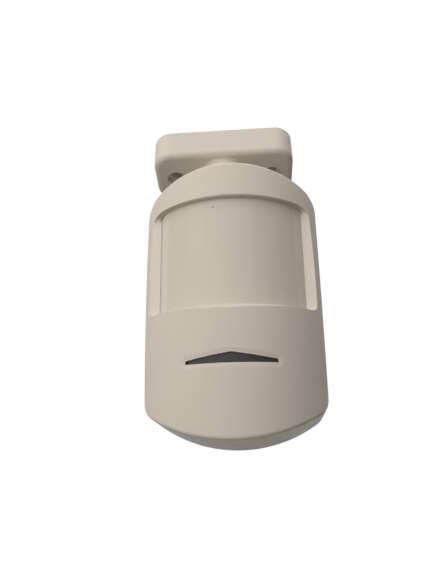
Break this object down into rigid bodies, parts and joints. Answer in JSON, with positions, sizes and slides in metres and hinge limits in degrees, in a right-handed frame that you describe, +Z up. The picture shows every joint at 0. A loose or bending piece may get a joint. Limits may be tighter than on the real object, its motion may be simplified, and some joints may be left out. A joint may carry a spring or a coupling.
{
  "type": "motion detector",
  "caption": "Infrared motion detector with a curved milky lens under a brow, hung from a ceiling plate by a ball joint; its cover lifts off a base with a circuit board.",
  "frame": {"origin": "middle of the two fixing holes, on the plate's ceiling face", "axes": "+Z up into the ceiling, +X along the plate, -Y the way the detector looks"},
  "size_m": [0.0649, 0.0682, 0.1392],
  "materials": {
    "bracket_plastic": "warm white moulded plastic, matte",
    "housing_plastic": "warm white moulded plastic, finely grained",
    "ring_plastic": "slippery natural plastic",
    "lens_sheet": "milky soft sheet with fine ribs inside",
    "window_plastic": "smoked, nearly black",
    "board": "green lacquer over glass fibre",
    "black_plastic": "black moulded plastic",
    "relay_case": "smooth off-white case",
    "terminal_plastic": "green moulded plastic",
    "jumper_plastic": "blue moulded plastic",
    "plunger_plastic": "white moulded plastic",
    "led_resin": "red tinted resin",
    "screw_steel": "zinc plated",
    "sensor_can": "drawn metal can",
    "sensor_filter": "dark infrared filter",
    "capacitor_can": "can with a dark sleeve"
  },
  "bodies": {
    "bracket": {"bracket_plate": "bracket_plastic", "socket_cap": "bracket_plastic", "socket_cap_screws": "screw_steel"},
    "swivel": {"friction_ring": "ring_plastic"},
    "detector": {"ball_arm": "bracket_plastic", "arm_screws": "screw_steel", "rear_base": "housing_plastic", "circuit_board": "board", "board_screws": "screw_steel", "pir_sensor": "sensor_can", "pir_window": "sensor_filter", "sensor_spacer": "black_plastic", "microcontroller": "black_plastic", "relay": "relay_case", "capacitors": "capacitor_can", "resistors": "black_plastic", "terminal_block": "terminal_plastic", "terminal_screws": "screw_steel", "jumper_header": "black_plastic", "jumper_cap": "jumper_plastic", "indicator_led": "led_resin", "tamper_switch": "black_plastic"},
    "tamper": {"tamper_plunger": "plunger_plastic"},
    "cover": {"front_cover": "housing_plastic", "lens": "lens_sheet", "lens_retainer": "housing_plastic", "led_window": "window_plastic"}
  },
  "joints": [
    {"name": "bracket_pan", "type": "hinge", "parent": "bracket", "child": "swivel", "pos_m": [0, 0, -0.0207], "axis": [0, 0, 1], "range_deg": [-45, 45]},
    {"name": "bracket_tilt", "type": "hinge", "parent": "swivel", "child": "detector", "pos_m": [0, 0, -0.0207], "axis": [1, 0, 0], "range_deg": [-35, 20]},
    {"name": "cover_lift", "type": "slide", "parent": "detector", "child": "cover", "axis": [-0.0331, -0.9466, -0.3206], "range_m": [0, 0.06]},
    {"name": "tamper_press", "type": "slide", "parent": "detector", "child": "tamper", "axis": [0.0331, 0.9466, 0.3206], "range_m": [0, 0.0012], "stiffness_N_per_m": 400}
  ]
}
